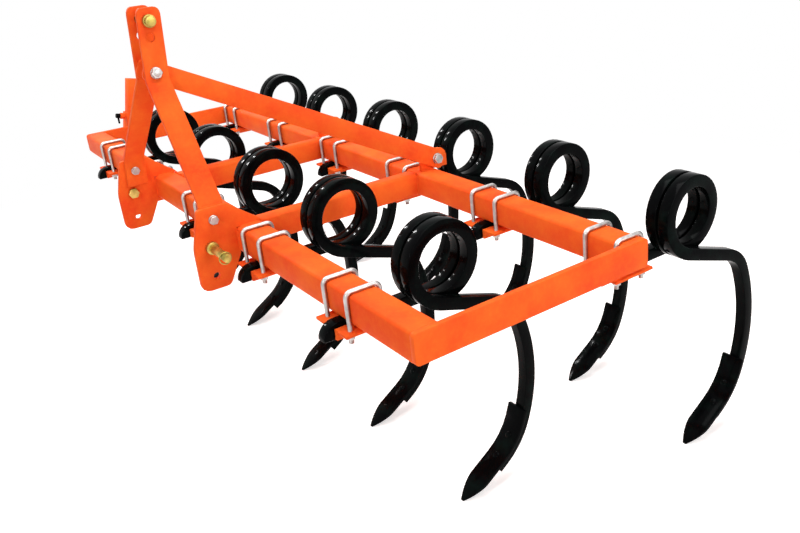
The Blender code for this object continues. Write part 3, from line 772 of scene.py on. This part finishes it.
def narrow_leg(obj, node):
    """Draws a mast leg's front and rear edges in towards its leaning middle, clear of its holes."""
    low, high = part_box(node)
    foot = Vector(((low.x + high.x) / 2, low.y + LEG_HALF, low.z))
    lean = atan2(high.y - LEG_HALF - foot.y, high.z - low.z)
    edit(obj)
    bpy.ops.mesh.select_mode(type="VERT")
    bpy.ops.mesh.select_all(action="SELECT")
    bpy.ops.transform.rotate(value=-lean, orient_axis="X", orient_type="GLOBAL", center_override=foot)
    for side, edge in ((-1, LEG_FRONT), (1, LEG_REAR)):
        mesh = bmesh.from_edit_mesh(obj.data)
        bpy.ops.mesh.select_all(action="DESELECT")
        for vertex in mesh.verts:
            vertex.select = side * (vertex.co.y - foot.y) > LEG_KEEP + 0.0005
        bmesh.update_edit_mesh(obj.data)
        share = (edge - LEG_KEEP) / (LEG_HALF - LEG_KEEP)
        bpy.ops.transform.resize(value=(1, share, 1),
                                 center_override=foot + Vector((0, side * LEG_KEEP, 0)))
    bpy.ops.mesh.select_all(action="SELECT")
    bpy.ops.transform.rotate(value=lean, orient_axis="X", orient_type="GLOBAL", center_override=foot)
    bpy.ops.object.mode_set(mode="OBJECT")


def rounded_node(node):
    """A merged copy of a CAD node with its sharp edges broken, as steel has under paint."""
    deselect()
    source = NODES[node]
    obj = bpy.data.objects.new(node + "_painted", source.data.copy())
    bpy.context.scene.collection.objects.link(obj)
    edit(obj)
    bpy.ops.mesh.select_all(action="SELECT")
    bpy.ops.mesh.remove_doubles(threshold=0.00002)
    bpy.ops.mesh.dissolve_limited(angle_limit=radians(1))
    bpy.ops.object.mode_set(mode="OBJECT")
    if node.endswith("mast_leg"):
        narrow_leg(obj, node)
    round_edges(obj, PAINTED_EDGE, angle=55)
    smooth(obj, 50)
    return obj


class CULTIVATOR_OT_painted_steel(bpy.types.Operator):
    """Breaks the edges of the frame, mast, braces and stand and paints them"""
    bl_idname = "cultivator.painted_steel"
    bl_label = "Painted Steel"

    def execute(self, context):
        for node in PAINTED:
            made = rounded_node(node)
            body = STAND if node in SLIDING else ROOT
            finish_piece(made, made.name, "powder_coat_orange", body, node)
        return {"FINISHED"}


WELD_RADIUS = 0.0036
WELD_RIPPLE = 0.0030
# How far beads stop short of a beam's corners, and where the bracket's and the leg's beads end
WELD_SHORT = 0.010
BRACKET_WELD_START = 0.004
LEG_WELD_ENDS = (0.006, 0.002)


def weld_lines():
    """Each weld's two ends, where plates and bars stand against the beams and the mast."""
    top = UNDERSIDE + BEAM
    low, high = UNDERSIDE + WELD_SHORT, top - WELD_SHORT
    lines = []
    for name, side in (("left", 0), ("right", 1)):
        plate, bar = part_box(name + "_hitch_plate"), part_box(name + "_inner_bar")
        bracket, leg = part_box(name + "_brace_bracket"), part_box(name + "_mast_leg")
        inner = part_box(name + "_end_plate")[1 - side].x
        for x in (plate[0].x, plate[1].x):
            lines.append(((x, FRONT_FACE, low), (x, FRONT_FACE, high)))
            lines.append(((x, FRONT_FACE + WELD_SHORT, top), (x, FRONT_BEAM[1].y - WELD_SHORT, top)))
        for y in (FRONT_BEAM[1].y, REAR_BEAM[0].y):
            lines += [((x, y, low), (x, y, high)) for x in (bar[0].x, bar[1].x, inner)]
            lines.append(((bar[0].x, y, top - 0.001), (bar[1].x, y, top - 0.001)))
        for x in (bracket[0].x, bracket[1].x):
            lines.append(((x, bracket[0].y + BRACKET_WELD_START, top),
                          (x, REAR_BEAM[1].y - WELD_SHORT, top)))
        outer, middle = leg[side].x, leg[0].y + LEG_HALF
        lines.append(((outer, middle - LEG_FRONT + LEG_WELD_ENDS[0], plate[1].z),
                      (outer, middle + LEG_REAR - LEG_WELD_ENDS[1], plate[1].z)))
    return lines


def weld_bead(start, end):
    """One rippled bead laid along an inside corner, thinner at its two ends."""
    start, end = Vector(start), Vector(end)
    length = (end - start).length
    steps = max(4, 2 * round(length / WELD_RIPPLE))
    profile = []
    for step in range(steps + 1):
        size = 0.6 if step in (0, steps) else (1.0 if step % 2 else 0.86)
        profile.append((length * step / steps, 2 * WELD_RADIUS * size))
    return turned(start, end - start, profile, 8)


class CULTIVATOR_OT_welds(bpy.types.Operator):
    """Lays the weld beads between plates, bars and beams, under the paint"""
    bl_idname = "cultivator.welds"
    bl_label = "Weld Beads"

    def execute(self, context):
        beads = join(*(weld_bead(start, end) for start, end in weld_lines()))
        finish_piece(beads, "weld_beads", "powder_coat_orange", ROOT)
        return {"FINISHED"}


# Fasteners and pins

ROD_CHAMFER = 0.0015
# A bolt's rod in its holes and its two ends; its head, which the nut shares, and its washer
BOLT_SLACK = 0.0002
BOLT_END = 0.001
HEAD_HEIGHT = 0.0095
HEAD_ACROSS = 1.42
WASHER = 0.0024
WASHER_ACROSS = 1.68
# Bolt diameters (the mast bolt shares the brace bolts'), and how far they stand out
LEG_BOLT = 0.016
BRACE_BOLT = 0.020
BOLT_OUT = 0.012
MAST_BOLT_OUT = 0.014
# The lower link pins: out of the plate, collar, nut on the inside, and linch pin from the end
LINK_OUT = 0.112
LINK_SHAFT = 0.0238
LINK_SHAFT_IN = 0.002
LINK_COLLAR = 0.0358
LINK_COLLAR_WIDTH = 0.012
LINK_NUT = 0.031
LINK_NUT_HEIGHT = 0.0112
LINK_NUT_IN = 0.007
LINK_RING_IN = 0.018
LINK_RING = 0.0165
# The top link pin: its shaft, head, knob and linch pin, with distances from its ends
TOP_SHAFT = 0.0248
TOP_SHAFT_IN = 0.004
TOP_HEAD = 0.0370
TOP_HEAD_ENDS = (0.024, 0.012)
TOP_KNOB = 0.0300
TOP_KNOB_IN = 0.010
TOP_RING_IN = 0.014
TOP_RING = 0.0150
# A linch pin's ring is bent from thin wire and hangs a little low
RING_WIRE = 0.0034
RING_DROP = 0.004


def rod_x(start, end, y, z, diameter):
    """A round bar along X with chamfered ends."""
    deselect()
    bpy.ops.mesh.primitive_cylinder_add(vertices=32, radius=diameter / 2, depth=abs(end - start),
                                        location=((start + end) / 2, y, z), rotation=(0, radians(90), 0))
    obj = bpy.context.object
    bpy.ops.object.transform_apply(location=True, rotation=True)
    round_edges(obj, ROD_CHAMFER)
    smooth(obj)
    return obj


def linch_ring(x, y, z, radius):
    """A linch pin's ring round the pin that it keeps in, centred at this X."""
    deselect()
    bpy.ops.mesh.primitive_torus_add(location=(x, y, z - RING_DROP), rotation=(0, radians(90), 0),
                                     major_radius=radius, minor_radius=RING_WIRE / 2,
                                     major_segments=40, minor_segments=10)
    ring = bpy.context.object
    bpy.ops.object.transform_apply(location=True, rotation=True)
    smooth(ring, 60)
    return ring


def centre_of(node):
    low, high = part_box(node)
    return (low + high) / 2


def bolt_x(node, diameter, head, nut):
    """A hexagon bolt along X: its head and nut are (face X, side) where they meet the steel."""
    centre = centre_of(node)
    low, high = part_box(node)
    pieces = [rod_x(low.x + BOLT_END, high.x - BOLT_END, centre.y, centre.z, diameter - BOLT_SLACK)]
    for face, side in (head, nut):
        pieces.append(washer((face + side * WASHER / 2, centre.y, centre.z), diameter * WASHER_ACROSS,
                             WASHER, "X"))
        pieces.append(hexagon_nut((face + side * (WASHER + HEAD_HEIGHT / 2), centre.y, centre.z),
                                  diameter * HEAD_ACROSS, HEAD_HEIGHT * NUT_BODY, "X"))
    finish_piece(join(*pieces), node + "_fine", "zinc_plate", ROOT, node)


class CULTIVATOR_OT_fasteners(bpy.types.Operator):
    """Turns the bolts, nuts and linkage pins"""
    bl_idname = "cultivator.fasteners"
    bl_label = "Bolts and Pins"

    def execute(self, context):
        for side_name, side in (("left", -1), ("right", 1)):
            for kind, diameter in (("leg_bolt", LEG_BOLT), ("brace_bolt", BRACE_BOLT)):
                node = f"{side_name}_{kind}"
                low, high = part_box(node)
                inner, outer = (high.x, low.x) if side < 0 else (low.x, high.x)
                bolt_x(node, diameter, (outer - side * BOLT_OUT, side), (inner + side * BOLT_OUT, -side))
            node = f"{side_name}_lower_pin"
            finish_piece(link_pin(node, side), node + "_fine", "yellow_zinc_plate", ROOT, node)
        low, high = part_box("mast_bolt")
        bolt_x("mast_bolt", BRACE_BOLT, (high.x - MAST_BOLT_OUT, 1), (low.x + MAST_BOLT_OUT, -1))
        finish_piece(top_pin(), "top_link_pin_fine", "yellow_zinc_plate", ROOT, "top_link_pin")
        return {"FINISHED"}


def link_pin(node, side):
    """A lower link pin: collar against the plate, shaft, inner nut and a linch pin's ring."""
    low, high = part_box(node)
    y, z = centre_of(node).yz
    inner, outer = (high.x, low.x) if side < 0 else (low.x, high.x)
    face = outer - side * LINK_OUT
    shaft = rod_x(inner + side * LINK_SHAFT_IN, outer, y, z, LINK_SHAFT)
    collar = rod_x(face, face + side * LINK_COLLAR_WIDTH, y, z, LINK_COLLAR)
    nut = hexagon_nut((inner + side * LINK_NUT_IN, y, z), LINK_NUT, LINK_NUT_HEIGHT, "X")
    return join(shaft, collar, nut, linch_ring(outer - side * LINK_RING_IN, y, z, LINK_RING))


def top_pin():
    """The top link pin: its head, shaft and the linch pin at its far end."""
    low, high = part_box("top_link_pin")
    y, z = centre_of("top_link_pin").yz
    shaft = rod_x(low.x, high.x - TOP_SHAFT_IN, y, z, TOP_SHAFT)
    head = rod_x(high.x - TOP_HEAD_ENDS[0], high.x - TOP_HEAD_ENDS[1], y, z, TOP_HEAD)
    knob = rod_x(high.x - TOP_KNOB_IN, high.x, y, z, TOP_KNOB)
    return join(shaft, head, knob, linch_ring(low.x + TOP_RING_IN, y, z, TOP_RING))


class CULTIVATOR_OT_stand_screw(bpy.types.Operator):
    """Makes the clamp screw on the parking stand's sleeve: its welded boss, head and hanging handle"""
    bl_idname = "cultivator.stand_screw"
    bl_label = "Stand Screw"

    def execute(self, context):
        stand = settings("stand")
        along = Vector((0, sin(stand.lean), cos(stand.lean)))
        forward = Vector((0, -cos(stand.lean), sin(stand.lean)))
        middle = Vector((centre_of("stand_sleeve").x, FRONT_FACE + stand.back, UNDERSIDE + BEAM))
        centre = middle + along * stand.screw_height
        face = stand.sleeve / 2 + GAP
        boss = turned(centre + forward * face, forward, [
            (0, stand.boss), (stand.boss_length - ROD_CHAMFER, stand.boss),
            (stand.boss_length, stand.boss - 2 * ROD_CHAMFER)], 32)
        finish_piece(boss, "stand_screw_boss", "powder_coat_orange", ROOT, "stand_screw")
        tip = stand.tube / 2 + GAP
        head = face + stand.boss_length
        shank = turned(centre + forward * tip, forward,
                       [(0, stand.screw - 0.002), (0.001, stand.screw), (head - tip + 0.002, stand.screw)])
        knob = turned(centre + forward * head, forward, [
            (0.0008, stand.head - 0.003), (0.0020, stand.head), (stand.head_length - 0.002, stand.head),
            (stand.head_length, stand.head - 0.003)], 32)
        handle = turned(centre + forward * (head + stand.head_length / 2), (0, 0, -1), [
            (0, stand.handle_rod), (stand.handle - 0.002, stand.handle_rod),
            (stand.handle, stand.handle_rod - 0.003)])
        finish_piece(join(shank, knob, handle), "stand_screw_steel", "gloss_black_enamel", ROOT,
                     "stand_screw")
        return {"FINISHED"}


# Studio

# Solved from the frame's edges in the photograph
CAMERA_PLACE = Vector((MIDDLE_X + 2.4939, FRONT_FACE - 0.7678, UNDERSIDE + 0.8660))
CAMERA_RIGHT = (0.59381147, 0.80069178, -0.07925032)
CAMERA_UP = (-0.25917403, 0.28359101, 0.9232578)
CAMERA_LENS = 37.795
CAMERA_SHIFT = (-0.06236, -0.03042)


def seen_rays(tree):
    """1 for what the camera sees, straight, mirrored or through something, and 0 for light."""
    rays = tree.nodes.new("ShaderNodeLightPath").outputs
    either = add_node(tree, "ShaderNodeMath", operation="MAXIMUM")
    tree.links.new(rays["Is Camera Ray"], either.inputs[0])
    tree.links.new(rays["Is Glossy Ray"], either.inputs[1])
    seen = add_node(tree, "ShaderNodeMath", operation="MAXIMUM")
    tree.links.new(either.outputs["Value"], seen.inputs[0])
    tree.links.new(rays["Is Transmission Ray"], seen.inputs[1])
    return seen.outputs["Value"]


def studio_floor():
    """A wide floor that keeps the machine's shadow and turns plain white away from it."""
    deselect()
    bpy.ops.mesh.primitive_plane_add(size=60, location=(0, 0, -0.001))
    obj = bpy.context.object
    obj.name = "studio_floor"
    tree, shader = new_material("studio_floor")
    seen = seen_rays(tree)
    stage = settings("stage")
    shader.inputs["Base Color"].default_value = stage.floor
    shader.inputs["Roughness"].default_value = 1.0
    shader.inputs["Specular IOR Level"].default_value = 0.0
    glow = add_node(tree, "ShaderNodeMath", operation="MULTIPLY")
    tree.links.new(seen, glow.inputs[0])
    glow.inputs[1].default_value = stage.floor_glow
    shader.inputs["Emission Color"].default_value = (1, 1, 1, 1)
    tree.links.new(glow.outputs["Value"], shader.inputs["Emission Strength"])
    place = tree.nodes.new("ShaderNodeTexCoord").outputs["Object"]
    away = add_node(tree, "ShaderNodeVectorMath", {"Vector": place}, operation="LENGTH")
    fade = add_node(tree, "ShaderNodeMapRange", {"Value": away.outputs["Value"]},
                    From_Min=1.3, From_Max=3.0, interpolation_type="SMOOTHSTEP")
    share = add_node(tree, "ShaderNodeMath", operation="MULTIPLY")
    tree.links.new(seen, share.inputs[0])
    tree.links.new(fade.outputs["Result"], share.inputs[1])
    white = add_node(tree, "ShaderNodeEmission", Strength=1.0)
    mix = tree.nodes.new("ShaderNodeMixShader")
    tree.links.new(share.outputs["Value"], mix.inputs["Fac"])
    tree.links.new(shader.outputs["BSDF"], mix.inputs[1])
    tree.links.new(white.outputs["Emission"], mix.inputs[2])
    tree.links.new(mix.outputs["Shader"], tree.nodes["Material Output"].inputs["Surface"])
    obj.data.materials.append(bpy.data.materials["studio_floor"])


def white_sky():
    """Even light from all round, and a plain white for the camera and for what reflects it."""
    world = bpy.data.worlds.new("studio_sky")
    bpy.context.scene.world = world
    world.use_nodes = True
    tree = world.node_tree
    tree.nodes.clear()
    stage = settings("stage")
    lit = add_node(tree, "ShaderNodeBackground", Color=stage.sky_tint, Strength=stage.sky)
    white = add_node(tree, "ShaderNodeBackground", Color=(1, 1, 1, 1), Strength=1.0)
    mix = tree.nodes.new("ShaderNodeMixShader")
    tree.links.new(seen_rays(tree), mix.inputs["Fac"])
    tree.links.new(lit.outputs["Background"], mix.inputs[1])
    tree.links.new(white.outputs["Background"], mix.inputs[2])
    output = tree.nodes.new("ShaderNodeOutputWorld")
    tree.links.new(mix.outputs["Shader"], output.inputs["Surface"])


def area_light(name, place, target, size, power):
    deselect()
    bpy.ops.object.light_add(type="AREA", location=place)
    lamp = bpy.context.object
    lamp.name = name
    lamp.data.shape = "RECTANGLE"
    lamp.data.size, lamp.data.size_y = size
    lamp.data.energy = power
    lamp.rotation_euler = (Vector(target) - Vector(place)).to_track_quat("-Z", "Y").to_euler()


def photo_camera():
    """The camera at the photograph's own place, with its lens and shift."""
    deselect()
    bpy.ops.object.camera_add(location=CAMERA_PLACE)
    camera = bpy.context.object
    camera.name = "photo_camera"
    right, up = Vector(CAMERA_RIGHT), Vector(CAMERA_UP)
    turn = Matrix((right, up, right.cross(up))).transposed().to_4x4()
    camera.matrix_world = Matrix.Translation(CAMERA_PLACE) @ turn
    camera.data.sensor_width = 36
    camera.data.lens = CAMERA_LENS
    camera.data.shift_x, camera.data.shift_y = CAMERA_SHIFT
    bpy.context.scene.camera = camera


class CULTIVATOR_OT_stage(bpy.types.Operator):
    """Sets up the floor, the soft lights and the camera at the photograph's angle"""
    bl_idname = "cultivator.stage"
    bl_label = "Studio"

    def execute(self, context):
        stage = settings("stage")
        studio_floor()
        white_sky()
        area_light("key_light", (0.6, 0.3, 4.2), (0, 0, 0.6), (3.4, 3.0), stage.key_power)
        area_light("side_light", (4.6, 0.9, 1.9), (0, 0, 0.6), (2.2, 2.2), stage.side_power)
        area_light("strip_light", (2.2, -3.4, 2.6), (0, 0, 0.6), (0.06, 0.9), stage.strip_power)
        area_light("left_glint_light", (-3.2, -1.4, 2.6), (0, 0, 0.7), (0.08, 0.5), stage.strip_power)
        area_light("high_glint_light", (-3.3, -0.4, 3.1), (0, 0, 0.7), (0.08, 0.5), stage.strip_power)
        photo_camera()
        context.scene.view_settings.view_transform = "Standard"
        return {"FINISHED"}


OPERATORS = (
    CULTIVATOR_OT_tines, CULTIVATOR_OT_shovels, CULTIVATOR_OT_clamps, CULTIVATOR_OT_painted_steel,
    CULTIVATOR_OT_welds, CULTIVATOR_OT_fasteners, CULTIVATOR_OT_stand_screw, CULTIVATOR_OT_stage,
)


class CULTIVATOR_PT_panel(bpy.types.Panel):
    bl_idname = "CULTIVATOR_PT_panel"
    bl_label = "Spring Tine Cultivator"
    bl_space_type = "VIEW_3D"
    bl_region_type = "UI"
    bl_category = "Cultivator"

    def draw(self, context):
        for operator in OPERATORS:
            self.layout.operator(operator.bl_idname)


GROUPS = {
    "tine": TineSettings, "clamp": ClampSettings, "stand": StandSettings, "finish": FinishSettings,
    "stage": StageSettings,
}


def register():
    for group in GROUPS.values():
        bpy.utils.register_class(group)
    for name, group in GROUPS.items():
        setattr(bpy.types.Scene, "cultivator_" + name, PointerProperty(type=group))
    for operator in OPERATORS:
        bpy.utils.register_class(operator)
    bpy.utils.register_class(CULTIVATOR_PT_panel)


def unregister():
    bpy.utils.unregister_class(CULTIVATOR_PT_panel)
    for operator in reversed(OPERATORS):
        bpy.utils.unregister_class(operator)
    for name in GROUPS:
        delattr(bpy.types.Scene, "cultivator_" + name)
    for group in reversed(GROUPS.values()):
        bpy.utils.unregister_class(group)


def main():
    register()
    make_materials()
    bpy.ops.cultivator.tines()
    bpy.ops.cultivator.shovels()
    bpy.ops.cultivator.clamps()
    bpy.ops.cultivator.painted_steel()
    bpy.ops.cultivator.welds()
    bpy.ops.cultivator.fasteners()
    bpy.ops.cultivator.stand_screw()
    bpy.ops.cultivator.stage()


if __name__ == "__main__":
    main()
